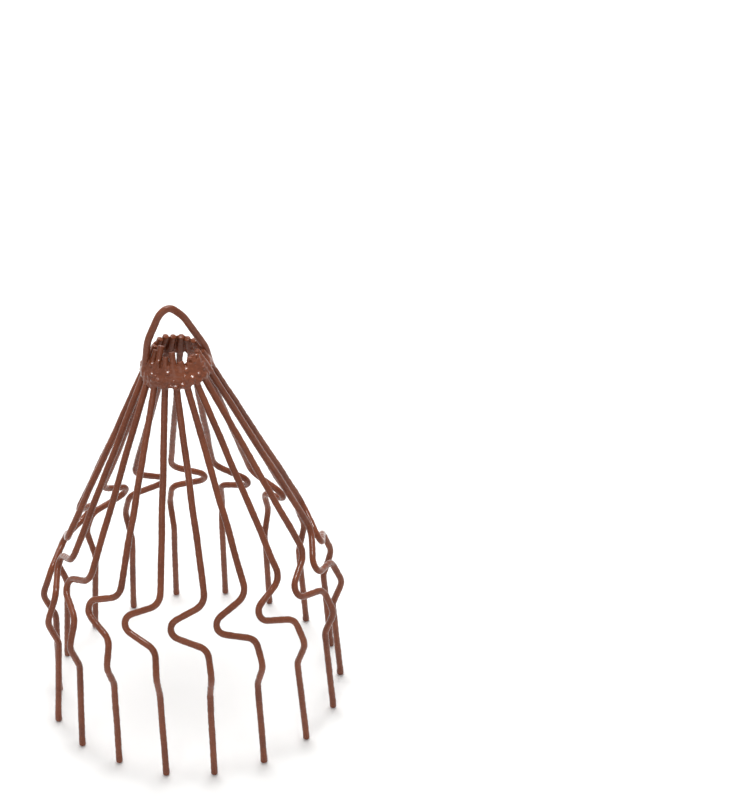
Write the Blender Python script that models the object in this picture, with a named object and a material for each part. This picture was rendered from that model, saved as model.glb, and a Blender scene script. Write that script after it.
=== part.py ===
"""Chimney bird guard: eighteen bent wire legs joined at a welded collar, with a wire loop to lift it by.

Metres, +Z up. The origin is on the floor, at the centre of the circle of feet. The front is -Y.
Each leg is one wire. From the crown it runs straight down and out to a knee, doubles sideways in a
kink that grips the rim of a flue, bows out, jogs back in and ends in a straight foot.
The named sizes are millimetres and degrees.
"""

import math

import bmesh
import bpy
import numpy as np
from mathutils import Vector

MM = 0.001

# Wire and pattern
WIRE = 5.2              # diameter over the coating
LEGS = 18
FIRST_LEG_DEG = -94.5   # azimuth of the first leg, just left of the front
FIT_GAP = 0.3           # clearance wherever one piece meets another

# Leg corners from the foot upwards. In and out are from the circle of feet. Sideways is from the
# leg's own azimuth, clockwise seen from above. Each rise is from the corner below.
FOOT_CIRCLE = 230.0
FOOT_LEAD = -21.8       # the foot stands this far sideways
FOOT_LENGTH = 75.9      # floor to the jog
FOOT_STRAIGHT = 5.0     # plumb end of the foot
JOG_IN = 4.8
JOG_SIDE = 2.2          # sideways from the foot, as the next three
JOG_BEND = 10.0
BOW_OUT = 3.5
BOW_RISE = 21.5
BOW_BEND = 12.7
RETURN_IN = 4.9
RETURN_SIDE = 2.9
RETURN_RISE = 21.9
RETURN_BEND = 10.0
KINK_IN = 12.5
KINK_SIDE = 43.2
KINK_RISE = 12.6
KINK_BEND = 7.9
KNEE_IN = 20.1
KNEE_SIDE = 3.9
KNEE_RISE = 18.1
KNEE_BEND = 12.6
SPOKE_RISE = 175.0      # knee to the top of the tallest wire
END_ROUND = 0.7         # rounded rim of each cut end

# Legs bent by hand a little out of their even place. Each number of a leg is followed by how far its
# kink stands counter-clockwise, seen from above, and how much further its foot does.
STRAYS_DEG = {
    0: (-1.0, -1.5),
    1: (-1.5, 0.5),
    2: (-1.5, 0.0),
    3: (-0.5, 1.0),
    4: (1.0, 1.5),
    5: (3.5, 0.0),
    6: (0.0, 1.0),
    7: (-1.0, 1.0),
    9: (1.0, 0.0),
    10: (0.0, 0.5),
    12: (1.5, -1.5),
    13: (1.0, -1.0),
    14: (-0.5, 1.5),
    16: (-2.0, 0.5),
    17: (-1.5, -1.0),
}

# Feet that stand this much outside the circle of feet, or inside it where less than zero
FOOT_SPREAD = {2: -2.0, 3: 1.5, 4: 3.5, 5: -3.0, 9: 3.5, 10: 3.0}

# Crown
CROWN_LEFT = 0.9        # the crown stands this far left of the middle of the feet
CROWN_SIDE = 3.7        # sideways place of the wire tops, which turns the crown a little
TOP_STEP = 5.0          # the wires at the back are cut shorter than those at the front
TOP_WOBBLE = 1.2        # and every second one shorter still
CUT_LONGER = {1: 1.0, 2: 3.0, 7: 3.0, 8: 1.5, 9: 1.5, 16: -2.5, 17: -4.6}

# Welded collar round the wires
COLLAR_BELOW_TOP = 7.0
COLLAR_HEIGHT = 17.0
COLLAR_COVER = 1.0      # outside the wires
COLLAR_LINING = 0.8     # inside them
COLLAR_SCALLOP = 1.8    # rise of the lower edge between two wires
COLLAR_ROUND = 1.6      # edge round

# Lifting loop. Its corners are counted from its own ends; in is towards the axis.
LOOP_AFTER_LEG = 3      # its first end stands between this leg and the next, its second opposite
LOOP_END_HEIGHT = 2.0   # above the collar's lower edge
SHOULDER_IN = 6.3
SHOULDER_RISE = 28.0
SHOULDER_BEND = 25.0
PEAK_LEAN = -6.4        # towards the first end
PEAK_RISE = 63.4
PEAK_BEND = 9.5
HEEL_IN = 4.9
HEEL_RISE = 15.0
HEEL_BEND = 12.0
HEEL_WIRE_DROP = 9.0    # the two wires under the loop's slanting side are cut this much shorter

# Faceting
BEND_STEP_DEG = 24.0
COLUMNS_PER_LEG = 3


def clear_scene():
    for item in list(bpy.data.objects):
        bpy.data.objects.remove(item, do_unlink=True)


def coating(name, colour, roughness):
    """A dip coating over steel wire, as linear colour."""
    material = bpy.data.materials.new(name)
    material.use_nodes = True
    shader = material.node_tree.nodes["Principled BSDF"]
    shader.inputs["Base Color"].default_value = (*colour, 1.0)
    shader.inputs["Roughness"].default_value = roughness
    shader.inputs["Metallic"].default_value = 0.0
    return material


def rounded_path(corners, bends):
    """The corners joined by straights, each inner one rounded to its bend radius in short steps."""
    points = [np.array(corners[0], float)]
    for before, corner, after, bend in zip(corners, corners[1:], corners[2:], bends):
        corner = np.array(corner, float)
        back, ahead = np.array(before) - corner, np.array(after) - corner
        room = 0.49 * min(np.linalg.norm(back), np.linalg.norm(ahead))
        back, ahead = back / np.linalg.norm(back), ahead / np.linalg.norm(ahead)
        turn = math.pi - math.acos(float(back @ ahead))
        reach = min(bend * math.tan(turn / 2), room)
        radius = reach / math.tan(turn / 2)
        middle = (back + ahead) / np.linalg.norm(back + ahead)
        centre = corner + middle * radius / math.cos(turn / 2)
        across = ahead - back
        across = across / np.linalg.norm(across)
        steps = max(1, math.ceil(math.degrees(turn) / BEND_STEP_DEG))
        for step in range(steps + 1):
            angle = turn * (step / steps - 0.5)
            points.append(centre - radius * (math.cos(angle) * middle - math.sin(angle) * across))
    points.append(np.array(corners[-1], float))
    return points


def wire_curve(name, points, diameter, end_round):
    """A round wire along the points, with flat ends whose rims are rounded off."""
    curve = bpy.data.curves.new(name, "CURVE")
    curve.dimensions = "3D"
    curve.bevel_depth = diameter / 2 * MM
    curve.bevel_resolution = 2
    curve.use_fill_caps = True
    first, last = np.array(points[0]), np.array(points[-1])
    rows = [(point, 1.0) for point in points]
    if end_round:
        rim = 1.0 - 2 * end_round / diameter
        towards_second = (points[1] - first) / np.linalg.norm(points[1] - first)
        towards_last_but_one = (points[-2] - last) / np.linalg.norm(points[-2] - last)
        start = [(first, rim), (first + end_round * towards_second, 1.0)]
        end = [(last + end_round * towards_last_but_one, 1.0), (last, rim)]
        rows = start + rows[1:-1] + end
    spline = curve.splines.new("POLY")
    spline.points.add(len(rows) - 1)
    for place, (point, radius) in zip(spline.points, rows):
        place.co = (*(point * MM), 1.0)
        place.radius = radius
    spline.use_smooth = True
    return curve


def show(name, data, material=None):
    """An object of this data in the scene."""
    item = bpy.data.objects.new(name, data)
    bpy.context.scene.collection.objects.link(item)
    if material:
        data.materials.append(material)
    return item


def heights():
    """Height of each corner of a leg above the floor."""
    jog = FOOT_LENGTH
    bow = jog + BOW_RISE
    back = bow + RETURN_RISE
    kink = back + KINK_RISE
    knee = kink + KNEE_RISE
    return jog, bow, back, kink, knee, knee + SPOKE_RISE


def crown_radius():
    """Radius at which the wires stand side by side at the top."""
    return (WIRE + FIT_GAP) / (2 * math.sin(math.pi / LEGS))


def knee_corner():
    return FOOT_CIRCLE / 2 - KNEE_IN, FOOT_LEAD + KNEE_SIDE, heights()[4]


def spoke_at(height):
    """Outward and sideways place of a leg's straight upper run at a height."""
    out_low, side_low, low = knee_corner()
    top = heights()[5]
    out_top = math.sqrt(crown_radius() ** 2 - CROWN_SIDE ** 2)
    share = (height - low) / (top - low)
    return out_low + share * (out_top - out_low), side_low + share * (CROWN_SIDE - side_low)


def spoke_radius(height):
    return math.hypot(*spoke_at(height))


def spoke_lag(height):
    """Angle in radians by which the run stands clockwise of the leg's own azimuth."""
    out, side = spoke_at(height)
    return math.atan2(side, out)


def leg_azimuth(number):
    return math.radians(FIRST_LEG_DEG) - 2 * math.pi * number / LEGS


def in_place(number, out, side, height, stray_deg=0.0):
    """A point given outward and sideways of leg `number`, as X, Y, Z."""
    angle = leg_azimuth(number) + math.radians(stray_deg)
    x = out * math.cos(angle) + side * math.sin(angle)
    y = out * math.sin(angle) - side * math.cos(angle)
    return np.array((x, y, height))


def under_heel(number):
    second = LOOP_AFTER_LEG + LEGS // 2
    return number in (second, second + 1)


def top_height(number):
    """Height of a wire's cut top."""
    if under_heel(number):
        return heights()[5] - HEEL_WIRE_DROP
    behind = 0.5 - 0.5 * math.cos(2 * math.pi * number / LEGS)
    return heights()[5] - TOP_STEP * behind - TOP_WOBBLE * (number % 2) + CUT_LONGER.get(number, 0.0)


def foot_share(height):
    """How much of a foot's own stray is felt at a height: none at the kink and all at the foot."""
    back = heights()[2]
    return min(max((back - height) / (back - FOOT_STRAIGHT), 0.0), 1.0)


def stray(number, height):
    """Degrees by which a leg strays at a height below its knee."""
    at_kink, at_foot = STRAYS_DEG.get(number, (0.0, 0.0))
    return at_kink + at_foot * foot_share(height)


def spread(number, height):
    return FOOT_SPREAD.get(number, 0.0) * foot_share(height)


def crown_shift(height):
    """How far the cage's middle has moved off the axis at a height, as X, Y, Z."""
    knee, top = heights()[4:]
    return np.array((-CROWN_LEFT * (height - knee) / (top - knee), 0.0, 0.0))


def on_run(number, height):
    """The point of a leg's straight upper run at a height. It joins the leg's own knee to its even top."""
    knee = in_place(number, *knee_corner(), stray(number, knee_corner()[2]))
    top = in_place(number, *spoke_at(heights()[5]), heights()[5]) + crown_shift(heights()[5])
    return knee + (top - knee) * (height - knee[2]) / (top[2] - knee[2])


def leg_corners(number):
    foot_out = FOOT_CIRCLE / 2
    jog, bow, back, kink, knee, _ = heights()
    corners = [
        (foot_out - KNEE_IN, FOOT_LEAD + KNEE_SIDE, knee),
        (foot_out - KINK_IN, FOOT_LEAD + KINK_SIDE, kink),
        (foot_out - RETURN_IN, FOOT_LEAD + RETURN_SIDE, back),
        (foot_out + BOW_OUT, FOOT_LEAD, bow),
        (foot_out - JOG_IN, FOOT_LEAD + JOG_SIDE, jog),
        (foot_out, FOOT_LEAD, FOOT_STRAIGHT),
        (foot_out, FOOT_LEAD, 0.0),
    ]
    placed = [
        in_place(number, out + spread(number, height), side, height, stray(number, height))
        for out, side, height in corners
    ]
    return [on_run(number, top_height(number)), *placed]


def add_leg(number, material):
    bends = (KNEE_BEND, KINK_BEND, RETURN_BEND, BOW_BEND, JOG_BEND, FOOT_STRAIGHT)
    name = f"leg_{number + 1:02d}"
    path = rounded_path(leg_corners(number), bends)
    return show(name, wire_curve(name, path, WIRE, END_ROUND), material)


def collar_bottom():
    return heights()[5] - COLLAR_BELOW_TOP - COLLAR_HEIGHT


def loop_end():
    """Radius and height of the loop's ends, each resting in the valley between two wires."""
    height = collar_bottom() + LOOP_END_HEIGHT
    radius, half = spoke_radius(height), math.pi / LEGS
    out_low, _, low = knee_corner()
    out_top, _ = spoke_at(heights()[5])
    slope = math.atan2(out_low - out_top, heights()[5] - low)
    beside = radius * math.sin(half)
    outward = math.sqrt(max((WIRE + FIT_GAP) ** 2 - beside ** 2, 0.0)) / math.cos(slope)
    return radius * math.cos(half) + outward + FIT_GAP, height


def loop_path():
    radius, height = loop_end()
    middle = math.pi / LEGS
    angle = leg_azimuth(LOOP_AFTER_LEG) - middle - spoke_lag(height)
    outline = [
        (radius, 0.0),
        (radius - SHOULDER_IN, SHOULDER_RISE),
        (-PEAK_LEAN, PEAK_RISE),
        (HEEL_IN - radius, HEEL_RISE),
        (-radius, 0.0),
    ]
    shift = crown_shift(height)
    corners = [shift + (h * math.cos(angle), h * math.sin(angle), height + rise) for h, rise in outline]
    return rounded_path(corners, (SHOULDER_BEND, PEAK_BEND, HEEL_BEND))


def cutter(name, curves):
    """One hidden mesh of the given curves, to cut their clearance from the collar."""
    merged = bmesh.new()
    for curve in curves:
        item = show(name, curve)
        bpy.context.view_layer.update()
        mesh = bpy.data.meshes.new_from_object(item.evaluated_get(bpy.context.evaluated_depsgraph_get()))
        merged.from_mesh(mesh)
        bpy.data.objects.remove(item, do_unlink=True)
        bpy.data.meshes.remove(mesh)
    bmesh.ops.remove_doubles(merged, verts=merged.verts, dist=0.001 * MM)
    bmesh.ops.recalc_face_normals(merged, faces=merged.faces)
    mesh = bpy.data.meshes.new(name)
    merged.to_mesh(mesh)
    merged.free()
    item = show(name, mesh)
    item.hide_render = True
    item.display_type = "WIRE"
    return item


def collar_mesh(name):
    """A conical band that follows the wires, its lower edge scalloped between them."""
    low = collar_bottom()
    high = low + COLLAR_HEIGHT
    out_low, _, knee = knee_corner()
    out_top, _ = spoke_at(heights()[5])
    slope = math.atan2(out_low - out_top, heights()[5] - knee)
    half = (WIRE / 2 + FIT_GAP) / math.cos(slope)
    outside, inside = half + COLLAR_COVER, -half - COLLAR_LINING
    profile = [
        (outside - COLLAR_ROUND, low, 1.0),
        (outside, low + COLLAR_ROUND, 1.0),
        (outside, high - COLLAR_ROUND, 0.0),
        (outside - COLLAR_ROUND, high, 0.0),
        (inside, high, 0.0),
        (inside, low, 1.0),
    ]
    columns = LEGS * COLUMNS_PER_LEG
    first = leg_azimuth(0) - spoke_lag(low)
    band = bmesh.new()
    rings = []
    for offset, height, scalloped in profile:
        ring = []
        for column in range(columns):
            angle = 2 * math.pi * column / columns
            lift = COLLAR_SCALLOP * scalloped * (0.5 - 0.5 * math.cos(LEGS * angle))
            radius = spoke_radius(height + lift) + offset
            place = Vector((radius * math.cos(first + angle), radius * math.sin(first + angle), height + lift))
            place += Vector(crown_shift(height + lift))
            ring.append(band.verts.new(place * MM))
        rings.append(ring)
    for ring, following in zip(rings, rings[1:] + rings[:1]):
        for column in range(columns):
            beside = (column + 1) % columns
            band.faces.new((ring[column], ring[beside], following[beside], following[column]))
    bmesh.ops.recalc_face_normals(band, faces=band.faces)
    mesh = bpy.data.meshes.new(name)
    band.to_mesh(mesh)
    band.free()
    return mesh


def add_collar(material):
    collar = show("collar", collar_mesh("collar"), material)
    below = collar_bottom() - 3 * WIRE
    above = heights()[5] + WIRE
    runs = []
    for number in range(LEGS):
        ends = [on_run(number, height) for height in (above, below)]
        runs.append(wire_curve("wire_clearance", ends, WIRE + 2 * FIT_GAP, 0.0))
    path = loop_path()
    loop = wire_curve("loop_clearance", path, WIRE + 2 * FIT_GAP, 0.0)
    for name, curves in (("wire_clearance", runs), ("loop_clearance", [loop])):
        cut = collar.modifiers.new(name, "BOOLEAN")
        cut.operation = "DIFFERENCE"
        cut.object = cutter(name, curves)
    return collar


def add_loop(material):
    return show("lifting_loop", wire_curve("lifting_loop", loop_path(), WIRE, END_ROUND), material)


def main():
    clear_scene()
    wire = coating("leg_coating", (0.19, 0.065, 0.035), 0.38)
    weld = coating("collar_coating", (0.20, 0.070, 0.036), 0.33)
    loop = coating("loop_coating", (0.21, 0.075, 0.042), 0.38)
    for number in range(LEGS):
        add_leg(number, wire)
    add_collar(weld)
    add_loop(loop)


main()
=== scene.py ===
import math

import bpy
import numpy as np
from mathutils import Matrix, Vector


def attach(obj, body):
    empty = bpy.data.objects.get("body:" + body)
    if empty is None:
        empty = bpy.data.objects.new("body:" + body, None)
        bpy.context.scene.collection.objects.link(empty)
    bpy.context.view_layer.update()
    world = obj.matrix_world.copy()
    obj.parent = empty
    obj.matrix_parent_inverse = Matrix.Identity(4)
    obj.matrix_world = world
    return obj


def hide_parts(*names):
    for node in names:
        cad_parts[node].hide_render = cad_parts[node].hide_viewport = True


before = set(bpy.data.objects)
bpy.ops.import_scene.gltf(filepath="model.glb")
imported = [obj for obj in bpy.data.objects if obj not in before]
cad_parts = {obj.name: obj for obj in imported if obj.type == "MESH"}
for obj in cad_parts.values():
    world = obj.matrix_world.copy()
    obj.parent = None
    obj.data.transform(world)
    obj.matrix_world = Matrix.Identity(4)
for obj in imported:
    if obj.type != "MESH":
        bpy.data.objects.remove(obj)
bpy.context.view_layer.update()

mm = 0.001
print("frame loaded:", len(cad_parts), "solids")

# A chimney bird guard: eighteen kinked wires welded into a collar under a lifting loop, then dipped
# in a terracotta brown coating that rounds every end, webs the narrow gaps and gathers at the feet.
# All lengths below are in millimetres and all angles in degrees.


# Number, colour, node and mesh helpers

def smoothMin(first, second, width):
    # the smaller of two distances, rounded off where they are closer than width
    share = np.clip(0.5 + 0.5 * (second - first) / width, 0, 1)
    return second + (first - second) * share - width * share * (1 - share)


def smoothStep(value, low, high):
    # 0 up to low, 1 from high on, and between them 3 share squared less 2 share cubed
    share = np.clip((value - low) / (high - low), 0, 1)
    return share * share * (3 - 2 * share)


def bell(value):
    # a bell curve: e to the power of minus half the value squared, so 1 at 0
    return np.exp(-0.5 * value ** 2)


def toLinear(hexColour):
    # an sRGB hex colour as the linear values a shader wants
    srgb = np.array([int(hexColour[i:i + 2], 16) for i in (1, 3, 5)]) / 255.0
    linear = np.where(srgb <= 0.04045, srgb / 12.92, ((srgb + 0.055) / 1.055) ** 2.4)
    return (*linear.tolist(), 1.0)


def addNode(tree, kind, settings=None, inputs=None):
    # one node with its settings; an input is a value or another node's output socket
    node = tree.nodes.new(kind)
    for name, value in (settings or {}).items():
        setattr(node, name, value)
    for name, value in (inputs or {}).items():
        socket = node.inputs[name]
        if isinstance(value, bpy.types.NodeSocket):
            tree.links.new(value, socket)
        else:
            socket.default_value = value
    return node


def gridFaces(rings, sides):
    # quads of a tube: ring i side j, ring i side j+1, ring i+1 side j+1, ring i+1 side j
    ring = np.arange(rings - 1)[:, None] * sides
    side = np.arange(sides)[None, :]
    nextSide = (side + 1) % sides
    quads = np.stack([ring + side, ring + nextSide, ring + sides + nextSide, ring + sides + side], -1)
    return quads.reshape(-1, 4)


def putMesh(name, points, quads, triangles, material, nodes):
    # points in millimetres become a smooth-shaded object at the origin that stands for the nodes
    mesh = bpy.data.meshes.new(name)
    corners = np.concatenate([quads.ravel(), triangles.ravel()]).astype(np.int32)
    sizes = np.concatenate([np.full(len(quads), 4), np.full(len(triangles), 3)]).astype(np.int32)
    starts = np.concatenate([[0], np.cumsum(sizes)[:-1]]).astype(np.int32)
    mesh.vertices.add(len(points))
    mesh.vertices.foreach_set("co", (points * mm).astype(np.float32).ravel())
    mesh.loops.add(len(corners))
    mesh.loops.foreach_set("vertex_index", corners)
    mesh.polygons.add(len(sizes))
    mesh.polygons.foreach_set("loop_start", starts)
    mesh.polygons.foreach_set("loop_total", sizes)
    mesh.polygons.foreach_set("use_smooth", np.ones(len(sizes), bool))
    mesh.update(calc_edges=True)
    mesh.validate()
    mesh.materials.append(material)
    piece = bpy.data.objects.new(name, mesh)
    bpy.context.scene.collection.objects.link(piece)
    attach(piece, "root")
    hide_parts(*nodes)
    return piece


# Wire paths

wires = {
    "count": 18,
    "thickness": 5.2,           # with its coating
    "firstAzimuth": -94.5,      # of the first leg; the others follow clockwise seen from above
    "footCircle": 230.0,
    "footLead": -21.8,          # sideways place of the feet, clockwise of the leg's azimuth
    "crownRadius": 14.8,        # of the ring of tops
    "crownSide": 3.1,           # and the tops' sideways place
    "crownLeft": 0.9,           # the crown stands this far left of the middle of the feet
    # corners from the foot up: outward of the circle of feet, sideways of the foot, rise, bend radius
    "plumb": (0.0, 0.0, 5.0, 5.0),
    "jog": (-4.8, 2.2, 70.9, 10.0),
    "bow": (3.2, 0.0, 21.5, 12.7),
    "back": (-4.9, 2.9, 21.9, 10.0),
    "kink": (-12.5, 43.2, 12.6, 7.9),
    "knee": (-20.1, 3.9, 18.1, 12.6),
    "spokeRise": 175.0,         # height of the straight upper run
    "topStep": 5.0,             # the tops are lower towards the back, there by this
    "topWobble": 1.2,           # and every other one by this
    "heelWires": (12, 13),      # these are cut short beside the loop's second end
    "heelDrop": 9.0,
    # legs bent by hand out of their even place: degrees counter-clockwise of the kink, and more of the foot
    "strays": {
        0: (-1.0, -1.5), 1: (-1.5, 0.5), 2: (-1.5, 0.0), 3: (-0.5, 1.0), 4: (1.0, 1.5), 5: (3.5, 0.0),
        6: (0.0, 1.0), 7: (-1.0, 1.0), 9: (1.0, 0.0), 10: (0.0, 0.5), 12: (1.5, -1.5), 13: (1.0, -1.0),
        14: (-0.5, 1.5), 16: (-2.0, 0.5), 17: (-1.5, -1.0),
    },
    # feet that stand outside the circle of feet, or inside it
    "footSpread": {2: -2.0, 3: 1.5, 4: 3.5, 5: -3.0, 9: 3.1, 10: 2.6},
    # tops turned in the crown, degrees counter-clockwise
    "topStrays": {
        0: 2, 1: 4, 2: 5, 3: 5, 4: 5, 5: 4, 6: 1, 7: 2, 8: -1, 9: -2, 10: 4, 11: 4, 12: 3, 14: -4, 15: -8,
        16: -5, 17: -2,
    },
    # wires cut a little longer or shorter than the even crown
    "trims": {
        1: -2.5, 2: 3.0, 5: -2.2, 6: 1.0, 7: 3.0, 9: 1.2, 10: -1.8, 11: -0.6, 14: -2.0, 15: -2.0, 16: -7.6,
        17: -5.4,
    },
    "topThin": (0.18, 8.0, 24.0),   # less coating on the radius in the crown: how much, all of it, none
    # what the hand and the dip add
    "bendEase": 1.6,            # a bend starts and ends softly over this length
    "waver": 0.2,               # a wire strays this far from its true line
    "coatWaver": 0.07,          # unevenness of the coating
    "tipSwell": (0.05, 0.25),   # coating gathered at the foot, least and most
    "nibSize": (0.0, 0.3),      # nib of set drip at the foot, least and most
    "nibBack": (1.5, 4.0),      # and its distance from the end
    "topDome": (0.5, 2.4),      # height of the rounded end and how square it is
    "footDome": (1.7, 2.4),
    "frontRise": 35.0,          # the mesh of a wire starts on the side that faces outwards and this far up
    "ringSpacing": 1.2,
    "sides": 20,
    "seed": 18,
}
cornerNames = ("plumb", "jog", "bow", "back", "kink", "knee")

pathStep = 0.5      # length of one step of a finished path, to within rounding
arcShare = 0.49     # an arc takes up no more of a straight than this
arcDegrees = 4      # least turn of a long arc from one point to the next


def roundedPath(corners, bends):
    # straights joined by arcs: each arc is part of the bend circle that touches both straights
    corners = [np.array(corner, float) for corner in corners]
    path = [corners[0][None]]
    for before, corner, after, bend in zip(corners, corners[1:], corners[2:], bends):
        room = arcShare * min(np.linalg.norm(before - corner), np.linalg.norm(after - corner))
        back = (before - corner) / np.linalg.norm(before - corner)
        ahead = (after - corner) / np.linalg.norm(after - corner)
        turn = math.pi - math.acos(float(back @ ahead))
        reach = min(bend * math.tan(turn / 2), room)
        radius = reach / math.tan(turn / 2)
        middle = (back + ahead) / np.linalg.norm(back + ahead)
        across = (ahead - back) / np.linalg.norm(ahead - back)
        centre = corner + middle * radius / math.cos(turn / 2)
        count = max(3, int(math.degrees(turn) / arcDegrees))
        angle = turn * (np.linspace(0, 1, count)[:, None] - 0.5)
        path.append(centre - radius * (np.cos(angle) * middle - np.sin(angle) * across))
    path.append(corners[-1][None])
    return np.concatenate(path)


def easedPath(path, ease):
    # The path at even steps, each point the mean of its neighbours weighted by a bell curve as wide
    # as ease and cut off at four widths. Both ends are first drawn out straight.
    length = np.concatenate([[0], np.cumsum(np.linalg.norm(np.diff(path, axis=0), axis=1))])
    even = np.linspace(0, length[-1], round(length[-1] / pathStep) + 1)
    fine = np.stack([np.interp(even, length, path[:, axis]) for axis in range(3)], 1)
    reach = int(4 * ease / pathStep)
    weights = bell(np.arange(-reach, reach + 1) * pathStep / ease)
    weights /= weights.sum()
    first = fine[0] + (fine[0] - fine[1]) * np.arange(reach, 0, -1)[:, None]
    last = fine[-1] + (fine[-1] - fine[-2]) * np.arange(1, reach + 1)[:, None]
    padded = np.concatenate([first, fine, last])
    return np.stack([np.convolve(padded[:, axis], weights, "valid") for axis in range(3)], 1)


kneeHeight = sum(wires[name][2] for name in cornerNames)
topHeight = kneeHeight + wires["spokeRise"]


def spokeAt(height):
    # outward and sideways place of the straight upper run: a line from the knee to the crown
    lowOut = wires["footCircle"] / 2 + wires["knee"][0]
    lowSide = wires["footLead"] + wires["knee"][1]
    share = (height - kneeHeight) / wires["spokeRise"]
    out = lowOut + (math.sqrt(wires["crownRadius"] ** 2 - wires["crownSide"] ** 2) - lowOut) * share
    side = lowSide + (wires["crownSide"] - lowSide) * share
    return out, side


def legAzimuth(number):
    # equal turns clockwise from the first leg
    return math.radians(wires["firstAzimuth"] - 360.0 * number / wires["count"])


def placed(number, out, side, height, stray=0.0):
    # outward along a leg's azimuth and sideways, clockwise seen from above, as x, y, z
    angle = legAzimuth(number) + math.radians(stray)
    x = out * math.cos(angle) + side * math.sin(angle)
    y = out * math.sin(angle) - side * math.cos(angle)
    return np.array([x, y, height])


def legTop(number):
    # height of a cut top: lower towards the back along a cosine, and lower again at every other wire
    if number in wires["heelWires"]:
        return topHeight - wires["heelDrop"]
    behind = 0.5 - 0.5 * math.cos(2 * math.pi * number / wires["count"])
    even = topHeight - wires["topStep"] * behind - wires["topWobble"] * (number % 2)
    return even + wires["trims"].get(number, 0.0)


def footShare(height):
    # a foot's own stray grows from nothing at the kink to all of it at the foot
    back = sum(wires[name][2] for name in cornerNames[:4])
    return min(max((back - height) / (back - wires["plumb"][2]), 0.0), 1.0)


def strayAt(number, height):
    # degrees by which a leg has strayed at this height
    atKink, atFoot = wires["strays"].get(number, (0.0, 0.0))
    return atKink + atFoot * footShare(height)


def onSpoke(number, height):
    # the straight upper run joins the strayed knee to the top's place in the crown
    knee = placed(number, *spokeAt(kneeHeight), kneeHeight, strayAt(number, kneeHeight))
    top = placed(number, *spokeAt(topHeight), topHeight, wires["topStrays"].get(number, 0.0))
    top[0] -= wires["crownLeft"]
    return knee + (top - knee) * (height - kneeHeight) / wires["spokeRise"]


def topThinning(fromTop):
    # the dip drains off the crown: less coating on the radius near the cut tops
    amount, near, far = wires["topThin"]
    return amount * (1 - smoothStep(fromTop, near, far))


def legPath(number):
    # from the cut top down the straight run, through the six bends, to the foot
    footOut, footSide = wires["footCircle"] / 2, wires["footLead"]
    corners = [onSpoke(number, legTop(number))]
    bends = []
    height = kneeHeight
    spread = wires["footSpread"].get(number, 0.0)
    for name in reversed(cornerNames):
        out, side, rise, bend = wires[name]
        out += footOut + spread * footShare(height)
        corners.append(placed(number, out, footSide + side, height, strayAt(number, height)))
        bends.append(bend)
        height -= rise
    corners.append(placed(number, footOut + spread, footSide, 0.0, strayAt(number, 0.0)))
    return easedPath(roundedPath(corners, bends), wires["bendEase"])


# Tubes

def endShare(distance, dome):
    # 0 at the very end, 1 from the dome's height on, along a rounded-square quarter
    height, squareness = dome
    back = np.clip(1 - distance / height, 0, 1)
    return (1 - back ** squareness) ** (1 / squareness)


tubes = {
    "domeRings": 9,             # rings of a rounded end, with its pole and its edge
    "aheadReach": 0.7,          # the direction at a point is taken over this length to either side
    "swayWaves": (83.0, 71.0, 37.0, 43.0),   # wavelengths of the waver, by turns sideways and across
    "coatWaves": ((29.0, 1), (11.0, 2), (6.1, 1)),   # of the coating: wavelength, waves round the wire
    "coatShares": (0.6, 0.4),   # how much of each is the same all round, and how much isn't
    "swellPlace": (2.8, 2.4),   # distance of the swelling from the end, and its width
    "nibSpread": (1.0, 0.55),   # width of the nib along the wire, and in radians round it
}


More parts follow.
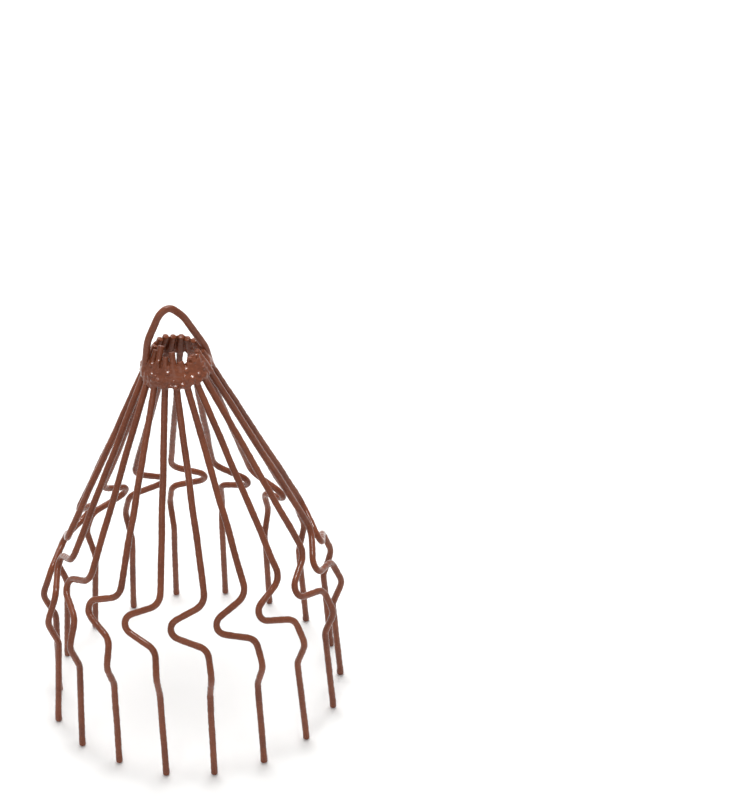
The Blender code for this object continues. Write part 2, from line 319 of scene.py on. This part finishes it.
def tube(path, across, look, dice, startDome, endDome, swell, nib, thinning=None):
    # A circle carried along the path, turned so that its angle 0 faces the across vector. Its radius
    # is half the thickness, less the thinning towards the first end, plus slow waves of coating, plus
    # a swelling near the last end and an off-centre nib of set drip there, all drawn in to nothing
    # over the rounded ends.
    steps = np.arange(len(path)) * np.linalg.norm(path[1] - path[0])
    length = steps[-1]
    turns = 1 - np.cos(np.linspace(0, math.pi / 2, tubes["domeRings"])[1:-1])
    inside = np.linspace(startDome[0], length - endDome[0], int(length / look["ringSpacing"]))
    along = np.concatenate([startDome[0] * turns, inside, length - endDome[0] * turns[::-1]])

    def place(where):
        return np.stack([np.interp(where, steps, path[:, axis]) for axis in range(3)], 1)

    centre = place(along)
    reach = tubes["aheadReach"]
    ahead = place(np.clip(along + reach, 0, length)) - place(np.clip(along - reach, 0, length))
    ahead /= np.linalg.norm(ahead, axis=1)[:, None]
    side = across - (ahead @ across)[:, None] * ahead
    side /= np.linalg.norm(side, axis=1)[:, None]
    other = np.cross(ahead, side)
    free = np.sin(math.pi * along / length)[:, None]
    for direction, wave in zip((side, other, side, other), tubes["swayWaves"]):
        phase = dice.uniform(0, 2 * math.pi)
        sway = look["waver"] * wave / tubes["swayWaves"][0] * np.sin(2 * math.pi * along / wave + phase)
        centre = centre + free * sway[:, None] * direction

    angle = np.linspace(0, 2 * math.pi, look["sides"], endpoint=False)
    radius = np.full((len(along), look["sides"]), look["thickness"] / 2)
    allRound, oneSided = tubes["coatShares"]
    for wave, turn in tubes["coatWaves"]:
        phase = dice.uniform(0, 2 * math.pi, 2)
        swing = np.sin(2 * math.pi * along / wave + phase[0])[:, None]
        radius += look["coatWaver"] * swing * (allRound + oneSided * np.cos(turn * angle + phase[1]))
    fromEnd = (length - along)[:, None]
    swellBack, swellWidth = tubes["swellPlace"]
    radius += swell * bell((fromEnd - swellBack) / swellWidth)
    if thinning:
        radius -= thinning(along)[:, None]
    size, back, facing = nib
    turned = np.abs((angle - facing + math.pi) % (2 * math.pi) - math.pi)
    nibWidth, nibTurn = tubes["nibSpread"]
    radius += size * bell((fromEnd - back) / nibWidth) * bell(turned / nibTurn)
    radius *= endShare(along, startDome)[:, None] * endShare(length - along, endDome)[:, None]

    ring = np.cos(angle)[:, None] * side[:, None] + np.sin(angle)[:, None] * other[:, None]
    points = (centre[:, None] + radius[..., None] * ring).reshape(-1, 3)
    points = np.concatenate([points, path[:1], path[-1:]])
    turn = np.arange(look["sides"])
    nextTurn = (turn + 1) % look["sides"]
    firstPole, lastPole = len(points) - 2, len(points) - 1
    lastRing = (len(along) - 1) * look["sides"]
    firstCap = np.stack([np.full(look["sides"], firstPole), nextTurn, turn], 1)
    lastCap = np.stack([np.full(look["sides"], lastPole), lastRing + turn, lastRing + nextTurn], 1)
    return points, gridFaces(len(along), look["sides"]), np.concatenate([firstCap, lastCap])


# Lifting loop

loop = {
    "thickness": 5.6,
    "afterLeg": 3,           # its first end stands between this leg and the next, its second opposite
    "endHeight": 303.0,
    # corners: outward from the axis along the first end's azimuth, above the ends, bend radius
    "firstEnd": (26.6, 0.0, 0.0),
    "shoulder": (22.9, 28.0, 30.0),
    "rise": (13.0, 47.6, 12.0),
    "peak": (5.0, 53.3, 8.0),
    "fall": (-6.3, 42.0, 28.0),
    "heel": (-21.6, 13.0, 22.0),
    "secondEnd": (-24.2, 0.0, 0.0),
    "bendEase": 1.5,
    "waver": 0.2,
    "coatWaver": 0.05,
    "endDome": (1.2, 2.4),   # height of its rounded ends and how square they are
    "ringSpacing": 0.9,
    "sides": 24,
    "seed": 5,
}


def loopAzimuth():
    # midway between two wires at the height of the loop's ends
    out, side = spokeAt(loop["endHeight"])
    return legAzimuth(loop["afterLeg"]) - math.pi / wires["count"] - math.atan2(side, out)


def loopPath():
    # the outline stands upright in the plane of the loop's azimuth
    angle = loopAzimuth()
    outline = [loop[name] for name in ("firstEnd", "shoulder", "rise", "peak", "fall", "heel", "secondEnd")]
    corners = [(h * math.cos(angle), h * math.sin(angle), loop["endHeight"] + up) for h, up, _ in outline]
    bends = [bend for _, _, bend in outline[1:-1]]
    return easedPath(roundedPath(corners, bends), loop["bendEase"])


# Collar of weld metal and coating, as a field of distances to its surface

collar = {
    "voxel": 0.42,
    "reach": 33.0,            # half width of the block of space that holds the field
    "low": 290.0,             # its lower end
    "high": 330.0,            # and its upper end
    "bandLow": 302.6,         # lower edge of the band
    "bandHigh": 314.0,        # and its upper edge
    "bandHalf": 1.5,          # half the thickness of the band
    "bandOut": 1.0,           # how far its middle stands outside the wires' own middle
    "bead": 0.9,              # more of it, and further out, round the weld bead
    "beadHeight": 306.0,
    "beadWidth": 4.2,
    "beadOut": 0.8,           # share of the bead that goes outwards
    "beadLean": 0.8,          # share of the bead that the lean takes off
    "edgeRound": 1.8,
    "edgeBlend": 1.0,         # rounding where the two edges come close
    "wireBlend": 2.0,         # fillet of coating between band and wire
    "film": 0.25,             # extra coating on the wires at the band
    "filmFade": 7.0,          # and the length over which it thins out below
    "filmEnd": 3.0,           # the length over which it then sinks out of sight
    # distances below a top where it starts to thin out at the latest, starts to sink, and is gone
    "filmTop": (5.0, 2.2, 0.8),
    "filmLoss": (0.8, 4.0),   # how much the film loses as it thins out, and as it sinks
    "loopFilm": 0.1,
    "loopBlend": 2.4,
    "loopRun": 20.0,          # length of each end of the loop that the field follows
    "loopFade": (5.0, 15.0, 18.0),   # its film starts to thin out here, to sink here, and is gone here
    "loopLoss": 0.9,          # how much it loses as it thins out
    "patchCore": 0.6,         # each patch below is at its full within this share of its half width
    # where the coating joins the wires higher up: middle azimuth, half width, extra height
    "joined": [(-42.0, 34.0, 6.4), (-82.0, 12.0, 3.4), (-116.0, 18.0, 3.6), (85.0, 95.0, 5.0)],
    # where it hangs lower: middle azimuth, half width, drop
    "hung": [
        (-108.0, 45.0, 2.0), (-146.0, 14.0, 3.0), (90.0, 60.0, 1.0), (118.0, 30.0, 5.0), (40.0, 24.0, 4.0),
    ],
    # the wires show through it near its upper edge: from this height to this one, share less outwards
    "thinAbove": (309.0, 314.5, 0.75),
    # thinner on the right: middle azimuth, half width, less outwards, less of half the thickness
    "lean": (18.0, 60.0, 1.5, 0.3),
    # thicker over the tops at the front right: middle azimuth, half width, more outwards
    "fused": (-45.0, 30.0, 0.9),
    # the wires stand bare inside the back: middle azimuth, half width, more outwards, less of half the
    # thickness, and how far below the first height of thinAbove that starts
    "bare": (85.0, 100.0, 1.3, 0.5, 5.0),
    # roughness of the band: height, least and most wavelength, number of waves
    "grain": (0.21, 3.0, 8.0, 9),
    # Beads of spatter at the front, as azimuth, height and radius. Each is wiped nearly flat on one
    # side, to a part of a larger ball: that side's azimuth and elevation, the larger ball's radius, the
    # flat's height above the bead's middle as a share of the bead's radius, and the rounding of its rim.
    "wipedFacing": (-87.0, 61.0),
    "wipedRadius": 7.0,
    "wipedShare": 0.35,
    "wipedRim": 0.4,
    "spatterOut": 0.5,        # how far the beads' middles stand outside the band
    "spatterBlend": 0.65,     # fillet at their foot
    "spatter": [
        (-109, 311.9, 2.0), (-74, 313.4, 2.2), (-67, 308.1, 2.0), (-54, 308.9, 1.7), (-69, 306.0, 1.7),
        (-123, 307.0, 2.2), (-95, 303.4, 2.3), (-84, 304.6, 2.2), (-102, 303.9, 1.8), (-112, 302.8, 1.8),
        (-148, 314.1, 2.0), (-133, 318.0, 1.6), (-40, 311.4, 1.8), (-138, 309.0, 1.8),
    ],
    # pits that the coating left open, as azimuth, height and radius
    "pitSunk": 0.7,           # how far their middles lie inside the band
    "pits": [
        (-61, 317.7, 1.1), (-44, 318.4, 1.0), (-13, 311.3, 1.2), (-74, 316.1, 1.4), (-110, 317.0, 1.1),
        (-126, 317.6, 1.3), (-126, 315.6, 1.3), (-126, 313.8, 1.0), (-95, 318.4, 1.1),
    ],
    # and this many rounder lumps all round
    "lumps": 30,
    "lumpSize": (0.9, 1.8),
    "lumpSunk": 0.5,          # how far their middles lie inside the band
    "lumpRise": 4.0,          # their likeliest height above the band's lower edge
    "lumpBlend": 1.3,         # fillet at the foot of a lump and the mouth of a pit
    "edgeWaver": 0.8,         # unevenness of the band's lower edge
    "edgeTurns": (3, 5, 7),   # its waves in a turn
    "edgeTop": 0.8,           # share of it at the upper edge
    "seed": 11,
}


def lineDistance(points, start, end):
    # distance from each point to the straight through start and end
    along = (end - start) / np.linalg.norm(end - start)
    away = points - start
    return np.linalg.norm(away - (away @ along)[..., None] * along, axis=-1)


def near(azimuth, middle, width):
    # 1 round the middle, fading to 0 at the width to either side, all but the azimuth in degrees
    away = np.degrees(np.arccos(np.cos(azimuth - math.radians(middle))))
    return 1 - smoothStep(away, collar["patchCore"] * width, width)


def bandPlace(azimuth, height):
    # how far the band's middle stands outside the wires' own, and half its thickness
    middle, width, lessOut, lessHalf = collar["lean"]
    lean = near(azimuth, middle, width)
    bead = collar["bead"] * np.exp(-((height - collar["beadHeight"]) / collar["beadWidth"]) ** 2)
    bead = bead * (1 - collar["beadLean"] * lean)
    low, high, less = collar["thinAbove"]
    above = smoothStep(height, low, high)
    out = collar["bandOut"] * (1 - less * above) + collar["beadOut"] * bead - lessOut * lean
    half = collar["bandHalf"] + bead - lessHalf * lean
    middle, width, more = collar["fused"]
    out = out + more * above * near(azimuth, middle, width)
    middle, width, more, thinner, below = collar["bare"]
    bare = near(azimuth, middle, width) * smoothStep(height, low - below, high)
    return out + more * bare, half - thinner * bare


def collarField():
    # Each grid point's distance to the collar's surface, below 0 inside it: the least of its distances
    # to the wires, the band and the loop's ends, rounded off where two of them meet.
    dice = np.random.default_rng(collar["seed"])
    ticks = np.arange(-collar["reach"], collar["reach"] + collar["voxel"], collar["voxel"])
    levels = np.arange(collar["low"], collar["high"], collar["voxel"])
    points = np.stack(np.meshgrid(ticks, ticks, levels, indexing="ij"), -1)
    height = points[..., 2]
    # the collar's axis has moved left with the crown
    axisPlace = -wires["crownLeft"] * (height - kneeHeight) / wires["spokeRise"]
    azimuth = np.arctan2(points[..., 1], points[..., 0] - axisPlace)

    # wires: round rods whose film of coating thins out below the band and again above it, and then
    # sinks until the rod is hidden in the wire's own piece
    fade = collar["filmFade"]
    gone = fade + collar["filmEnd"]
    thinned, sunk = collar["filmLoss"]
    thinBelow, sinkBelow, goneBelow = collar["filmTop"]
    steep = wires["spokeRise"] / np.linalg.norm(onSpoke(0, topHeight) - onSpoke(0, kneeHeight))
    wireField = np.full(height.shape, np.inf)
    for number in range(wires["count"]):
        low, high = onSpoke(number, collar["low"]), onSpoke(number, topHeight)
        top = legTop(number)
        upper = min(collar["bandHigh"], top - thinBelow)
        film = collar["film"] - thinned * smoothStep(-height, -collar["bandLow"], fade - collar["bandLow"])
        film -= sunk * smoothStep(-height, fade - collar["bandLow"], gone - collar["bandLow"])
        atTop = thinned * smoothStep(height, upper, top - sinkBelow)
        film -= atTop + sunk * smoothStep(height, top - sinkBelow, top - goneBelow)
        thick = wires["thickness"] / 2 - topThinning((top - height) / steep)
        rod = lineDistance(points, low, high) - thick - film
        wireField = np.minimum(wireField, rod)

    # band: a conical wall along the wires, thicker round the bead, with wavering edges
    lowOut, highOut = (math.hypot(*spokeAt(z)) for z in (collar["low"], collar["high"]))
    slope = (highOut - lowOut) / (collar["high"] - collar["low"])
    cone = lowOut + slope * (height - collar["low"])
    turns = collar["edgeTurns"]
    phases = dice.uniform(0, 2 * math.pi, max(turns) + 1)
    waver = sum(np.sin(turn * azimuth + phases[turn]) for turn in turns) / len(turns) * collar["edgeWaver"]
    radial = np.hypot(points[..., 0] - axisPlace, points[..., 1])
    bandMiddle, bandHalf = bandPlace(azimuth, height)
    across = np.abs((radial - cone) / math.hypot(1, slope) - bandMiddle) - bandHalf
    lowEdge = collar["bandLow"] + waver
    for middle, width, drop in collar["hung"]:
        lowEdge = lowEdge - drop * near(azimuth, middle, width)
    highEdge = collar["bandHigh"] - collar["edgeTop"] * waver
    for middle, width, rise in collar["joined"]:
        highEdge = highEdge + rise * near(azimuth, middle, width)
    edges = -smoothMin(height - lowEdge, highEdge - height, collar["edgeBlend"])
    band = -smoothMin(-across, -edges, collar["edgeRound"])
    # grain: sine waves of unlike length, each along a slanting axis of its own, added together
    size, least, most, waves = collar["grain"]
    axes = dice.normal(size=(waves, 3))
    axes /= np.linalg.norm(axes, axis=1)[:, None]
    grain = np.zeros(height.shape)
    for axis in axes:
        wave = dice.uniform(least, most)
        grain += np.sin(points @ axis * 2 * math.pi / wave + dice.uniform(0, 2 * math.pi))
    grain *= size / math.sqrt(waves / 2)
    field = smoothMin(wireField, band + grain, collar["wireBlend"])

    # the loop's two ends, buried in the bead
    path = loopPath()
    followed = round(collar["loopRun"] / pathStep)
    thinFrom, sinkFrom, goneFrom = collar["loopFade"]
    for end, inner in ((path[0], path[followed]), (path[-1], path[-followed - 1])):
        along = (inner - end) / np.linalg.norm(inner - end)
        away = points - end
        run = away @ along
        off = np.linalg.norm(away - np.clip(run, 0, collar["loopRun"])[..., None] * along, axis=-1)
        film = collar["loopFilm"] - collar["loopLoss"] * smoothStep(run, thinFrom, sinkFrom)
        film -= sunk * smoothStep(run, sinkFrom, goneFrom)
        field = smoothMin(field, off - loop["thickness"] / 2 - film, collar["loopBlend"])

    # Lumps of spatter and set drips, then the pits, taken away as the lumps are added: azimuth, height,
    # radius, 1 to add or -1 to take away, whether it is wiped, and how far inside the band it lies.
    turn, rise = (math.radians(angle) for angle in collar["wipedFacing"])
    facing = np.array([math.cos(turn) * math.cos(rise), math.sin(turn) * math.cos(rise), math.sin(rise)])
    flatten = collar["wipedRadius"]
    lumps = []
    for turn, z, size in collar["spatter"]:
        lumps.append((math.radians(turn), z, size, 1, True, -collar["spatterOut"]))
    for _ in range(collar["lumps"]):
        z = dice.triangular(collar["bandLow"], collar["bandLow"] + collar["lumpRise"], collar["bandHigh"])
        turn = dice.uniform(0, 2 * math.pi)
        lumps.append((turn, z, dice.uniform(*collar["lumpSize"]), 1, False, collar["lumpSunk"]))
    for turn, z, size in collar["pits"]:
        lumps.append((math.radians(turn), z, size, -1, False, collar["pitSunk"]))
    for turn, z, size, sign, wiped, inwards in lumps:
        out = lowOut + slope * (z - collar["low"]) + sum(bandPlace(turn, z)) * math.hypot(1, slope) - inwards
        away = points - np.array([out * math.cos(turn) - wires["crownLeft"], out * math.sin(turn), z])
        ball = np.linalg.norm(away, axis=-1) - size
        if wiped:
            below = (flatten - size * collar["wipedShare"]) * facing
            cap = np.linalg.norm(away + below, axis=-1) - flatten
            ball = -smoothMin(-ball, -cap, collar["wipedRim"])
        blend = collar["spatterBlend"] if wiped else collar["lumpBlend"]
        field = sign * smoothMin(sign * field, ball, blend)
    return field


def netOf(field, origin, voxel):
    # One vertex in each cell that the surface crosses, at the mean of its edge crossings, and one
    # quad round each crossed grid edge, turned to face the outside of the field.
    inside = field < 0
    cells = tuple(n - 1 for n in field.shape)
    total = np.zeros((*cells, 3))
    count = np.zeros(cells)
    quads = []
    crossings = []
    for axis in range(3):
        low = [slice(None)] * 3
        high = [slice(None)] * 3
        low[axis], high[axis] = slice(0, -1), slice(1, None)
        first, second = field[tuple(low)], field[tuple(high)]
        crossed = inside[tuple(low)] != inside[tuple(high)]
        share = np.where(crossed, first / np.where(crossed, first - second, 1), 0)
        others = [a for a in range(3) if a != axis]
        for a in (0, 1):
            for b in (0, 1):
                pick = [slice(None)] * 3
                pick[others[0]] = slice(a, a + cells[others[0]])
                pick[others[1]] = slice(b, b + cells[others[1]])
                met = crossed[tuple(pick)]
                count += met
                total[..., axis] += share[tuple(pick)]
                total[..., others[0]] += met * a
                total[..., others[1]] += met * b
        crossings.append((axis, crossed, inside[tuple(low)]))
    used = count > 0
    index = np.full(cells, -1)
    index[used] = np.arange(used.sum())
    corner = np.stack(np.nonzero(used), 1)
    points = origin + voxel * (corner + total[used] / count[used][:, None])
    for axis, crossed, leaving in crossings:
        u, v = (axis + 1) % 3, (axis + 2) % 3
        where = np.stack(np.nonzero(crossed), 1)
        where = where[(where[:, u] > 0) & (where[:, v] > 0)]
        where = where[(where[:, u] < cells[u]) & (where[:, v] < cells[v])]
        outwards = leaving[tuple(where.T)]
        around = []
        for du, dv in ((-1, -1), (0, -1), (0, 0), (-1, 0)):
            cell = where.copy()
            cell[:, u] += du
            cell[:, v] += dv
            around.append(index[tuple(cell.T)])
        around = np.stack(around, 1)
        around[~outwards] = around[~outwards][:, ::-1]
        quads.append(around)
    return points, np.concatenate(quads)


# Dip coating

coating = {
    "body": "#7A4128",
    "deep": "#693621",
    "pale": "#8E5137",
    # painted shade colour for the inside of the crown, where shade falls
    "inside": "#4C2E22",
    "paintedShadeShare": 0.12,           # how far the inside of the crown turns to that painted shade colour
    "paintedShadeMirror": 0.14,          # how much the coating mirrors there, dimmed as painted shade
    "paintedShadeLow": (281.0, 297.0),   # it starts at the first height and is all there from the second on
    "paintedShadeDepth": (-2.4, 0.8),    # and likewise with the depth inside the cone of the wires' middles
    "cloudSize": 25.0,             # width of the clouds of thicker coating
    "speckSize": 1.5,              # of the specks
    "peelSize": 2.0,               # and of the orange peel
}


def dipCoating(name, roughness, lumpiness, mirror):
    # Plastic dip coating over steel wire: a smooth reddish brown skin with a soft gloss, of slightly
    # uneven colour, with a faint orange peel. Inside the crown it has painted shade: a deeper colour
    # and dimmed mirroring.
    material = bpy.data.materials.new(name)
    material.use_nodes = True
    tree = material.node_tree
    shader = tree.nodes["Principled BSDF"]
    place = addNode(tree, "ShaderNodeTexCoord").outputs["Object"]
    # clouds of thicker coating, which turn it from the deep colour to that of the body
    clouds = addNode(tree, "ShaderNodeTexNoise", inputs={
        "Vector": place, "Scale": 1 / (coating["cloudSize"] * mm), "Detail": 3.0, "Roughness": 0.55})
    # specks and fine unevenness of the colour
    specks = addNode(tree, "ShaderNodeTexNoise", inputs={
        "Vector": place, "Scale": 1 / (coating["speckSize"] * mm), "Detail": 2.0, "Roughness": 0.6})
    body = addNode(tree, "ShaderNodeMapRange", inputs={
        "Value": clouds.outputs["Fac"], "From Min": 0.35, "From Max": 0.65})
    tint = addNode(tree, "ShaderNodeMix", {"data_type": "RGBA"}, {
        "Factor": body.outputs["Result"],
        "A": toLinear(coating["deep"]), "B": toLinear(coating["body"])})
    speck = addNode(tree, "ShaderNodeMapRange", inputs={
        "Value": specks.outputs["Fac"], "From Min": 0.5, "From Max": 0.8, "To Max": 0.6})
    colour = addNode(tree, "ShaderNodeMix", {"data_type": "RGBA"}, {
        "Factor": speck.outputs["Result"],
        "A": tint.outputs[2], "B": toLinear(coating["pale"])})
    # depth inside the cone of the wires: the cone's radius at this height less the distance to its axis
    lowOut, highOut = (math.hypot(*spokeAt(z)) for z in (collar["low"], collar["high"]))
    slope = (highOut - lowOut) / (collar["high"] - collar["low"])
    flat = addNode(tree, "ShaderNodeVectorMath", {"operation": "MULTIPLY_ADD"}, {
        0: place, 1: (1, 1, 0), 2: (wires["crownLeft"] * mm, 0, 0)})
    away = addNode(tree, "ShaderNodeVectorMath", {"operation": "LENGTH"}, {0: flat.outputs["Vector"]})
    height = addNode(tree, "ShaderNodeSeparateXYZ", inputs={0: place}).outputs["Z"]
    cone = addNode(tree, "ShaderNodeMath", {"operation": "MULTIPLY_ADD"}, {
        0: height, 1: slope, 2: (lowOut - slope * collar["low"]) * mm})
    depth = addNode(tree, "ShaderNodeMath", {"operation": "SUBTRACT"}, {
        0: cone.outputs[0], 1: away.outputs["Value"]})
    # painted shade: a mask that is 1 low down and deep inside the cone of the crown, where shade falls
    shares = []
    for value, name in ((depth.outputs[0], "paintedShadeDepth"), (height, "paintedShadeLow")):
        low, high = coating[name]
        shares.append(addNode(tree, "ShaderNodeMapRange", {"interpolation_type": "SMOOTHSTEP"}, {
            "Value": value, "From Min": low * mm, "From Max": high * mm}).outputs["Result"])
    inside = addNode(tree, "ShaderNodeMath", {"operation": "MULTIPLY"}, {0: shares[0], 1: shares[1]})
    paintedShadeAmount = addNode(tree, "ShaderNodeMath", {"operation": "MULTIPLY"}, {
        0: inside.outputs[0], 1: coating["paintedShadeShare"]})
    colour = addNode(tree, "ShaderNodeMix", {"data_type": "RGBA"}, {
        "Factor": paintedShadeAmount.outputs[0], "A": colour.outputs[2], "B": toLinear(coating["inside"])})
    tree.links.new(colour.outputs[2], shader.inputs["Base Color"])
    # gloss: a little duller where the colour is deep
    gloss = addNode(tree, "ShaderNodeMapRange", inputs={
        "Value": clouds.outputs["Fac"], "From Min": 0.3, "From Max": 0.7,
        "To Min": roughness + 0.05, "To Max": roughness - 0.05})
    tree.links.new(gloss.outputs["Result"], shader.inputs["Roughness"])
    # orange peel, whose height is lumpiness at most
    peel = addNode(tree, "ShaderNodeTexNoise", inputs={
        "Vector": place, "Scale": 1 / (coating["peelSize"] * mm), "Detail": 2.0, "Roughness": 0.5})
    bump = addNode(tree, "ShaderNodeBump", inputs={
        "Strength": 0.5, "Distance": lumpiness * mm, "Height": peel.outputs["Fac"]})
    tree.links.new(bump.outputs["Normal"], shader.inputs["Normal"])
    # a waxy skin mirrors less than bare plastic, and the inside of the crown less still, as painted shade
    shader.inputs["IOR"].default_value = 1.5
    shineDimmedInShade = addNode(tree, "ShaderNodeMapRange", inputs={
        "Value": inside.outputs[0], "To Min": mirror, "To Max": coating["paintedShadeMirror"]})
    tree.links.new(shineDimmedInShade.outputs["Result"], shader.inputs["Specular IOR Level"])
    return material


# name, roughness, height of the orange peel in mm, and how much the coating mirrors
legCoat = dipCoating("dippedPlasticCoatOnWire", 0.2, 0.12, 0.34)
collarCoat = dipCoating("dippedPlasticCoatOnWeld", 0.18, 0.35, 0.36)
loopCoat = dipCoating("dippedPlasticCoatOnLoop", 0.3, 0.14, 0.38)
print("coatings mixed")


# Pieces

dice = np.random.default_rng(wires["seed"])
rise = math.radians(wires["frontRise"])
for number in range(wires["count"]):
    outward = placed(number, 1.0, 0.0, 0.0)
    reference = outward * math.cos(rise) + np.array([0, 0, math.sin(rise)])
    swell = dice.uniform(*wires["tipSwell"])
    nib = (dice.uniform(*wires["nibSize"]), dice.uniform(*wires["nibBack"]), dice.uniform(0, 2 * math.pi))
    points, quads, caps = tube(
        legPath(number), reference, wires, dice, wires["topDome"], wires["footDome"], swell, nib, topThinning)
    node = f"leg_{number + 1:02d}"
    putMesh(f"coatedLeg{number + 1:02d}", points, quads, caps, legCoat, [node])
print("legs bent and dipped:", wires["count"])

dice = np.random.default_rng(loop["seed"])
reference = np.array([-math.sin(loopAzimuth()), math.cos(loopAzimuth()), 0.0])
dome = loop["endDome"]
noSwell, noNib = 0.0, (0.0, 2.0, 0.0)
points, quads, caps = tube(loopPath(), reference, loop, dice, dome, dome, noSwell, noNib)
putMesh("coatedLoop", points, quads, caps, loopCoat, ["lifting_loop"])
print("lifting loop bent")

origin = np.array([-collar["reach"], -collar["reach"], collar["low"]])
points, quads = netOf(collarField(), origin, collar["voxel"])
noTriangles = np.empty((0, 3), int)
putMesh("weldedCollar", points, quads, noTriangles, collarCoat, ["collar"])
print("collar welded and dipped:", len(quads), "quads")


# Floor, light and camera

studio = {
    "floorSize": 12.0,
    "floorColour": "#F4F4F3",
    "skyColour": "#FFFFFF",
    "skyStrength": 0.62,
    # each light: power in watts, width in metres, place, point it faces
    "overheadSoftbox": (7.0, 0.25, (0.05, 0.05, 1.5), (0, 0, 0.1)),
    "frontFill": (5.0, 1.4, (-0.7, -1.7, 1.2), (0, 0, 0.15)),
    "backWash": (75.0, 3.0, (0.0, 2.1, 2.3), (0, 2.0, 0)),
}


def paleFloor():
    # one square, level with the feet
    half = studio["floorSize"] / 2
    mesh = bpy.data.meshes.new("studioFloor")
    corners = [(-half, -half, 0), (half, -half, 0), (half, half, 0), (-half, half, 0)]
    mesh.from_pydata(corners, [], [(0, 1, 2, 3)])
    material = bpy.data.materials.new("mattPaperSweep")
    material.use_nodes = True
    # matt white paper: no gloss to speak of
    shader = material.node_tree.nodes["Principled BSDF"]
    shader.inputs["Base Color"].default_value = toLinear(studio["floorColour"])
    shader.inputs["Roughness"].default_value = 0.9
    shader.inputs["Specular IOR Level"].default_value = 0.1
    mesh.materials.append(material)
    floor = bpy.data.objects.new("studioFloor", mesh)
    bpy.context.scene.collection.objects.link(floor)


def softLight(name, power, size, place, target):
    # a round area light turned to face the target
    lamp = bpy.data.lights.new(name, "AREA")
    lamp.shape = "DISK"
    lamp.size = size
    lamp.energy = power
    light = bpy.data.objects.new(name, lamp)
    light.location = place
    towards = Vector(target) - Vector(place)
    light.rotation_euler = towards.to_track_quat("-Z", "Y").to_euler()
    bpy.context.scene.collection.objects.link(light)


paleFloor()
world = bpy.data.worlds.new("studioAir")
world.use_nodes = True
sky = world.node_tree.nodes["Background"]
sky.inputs["Color"].default_value = toLinear(studio["skyColour"])
sky.inputs["Strength"].default_value = studio["skyStrength"]
bpy.context.scene.world = world
for name in ("overheadSoftbox", "frontFill", "backWash"):
    softLight(name, *studio[name])
bpy.context.scene.view_settings.view_transform = "Standard"

# The camera looks down at the guard from the front.
lens = {
    "place": (0.0, -1.460593, 1.188868),   # metres from the origin
    "yaw": 0.100,             # radians, as the two below
    "pitch": 0.563,
    "roll": -0.010,
    "focal": 2255.905,        # in pixels of the image
    "imageHeight": 800,       # in pixels
    "sensorHeight": 36.0,     # in millimetres
}


def addCamera():
    # forward is turned by yaw and tipped down by pitch, and right and up are turned round it by roll
    yaw, pitch, roll = lens["yaw"], lens["pitch"], lens["roll"]
    forward = Vector((math.sin(yaw) * math.cos(pitch), math.cos(yaw) * math.cos(pitch), -math.sin(pitch)))
    right = forward.cross(Vector((0, 0, 1))).normalized()
    up = right.cross(forward)
    turnedRight = right * math.cos(roll) + up * math.sin(roll)
    turnedUp = up * math.cos(roll) - right * math.sin(roll)
    data = bpy.data.cameras.new("photoCamera")
    data.sensor_fit = "VERTICAL"
    data.sensor_height = lens["sensorHeight"]
    data.lens = lens["focal"] / lens["imageHeight"] * lens["sensorHeight"]
    data.clip_start = 0.02
    camera = bpy.data.objects.new("photoCamera", data)
    bpy.context.scene.collection.objects.link(camera)
    columns = Matrix((turnedRight, turnedUp, -forward)).transposed().to_4x4()
    camera.matrix_world = Matrix.Translation(Vector(lens["place"])) @ columns
    bpy.context.scene.camera = camera


addCamera()
print("studio set")
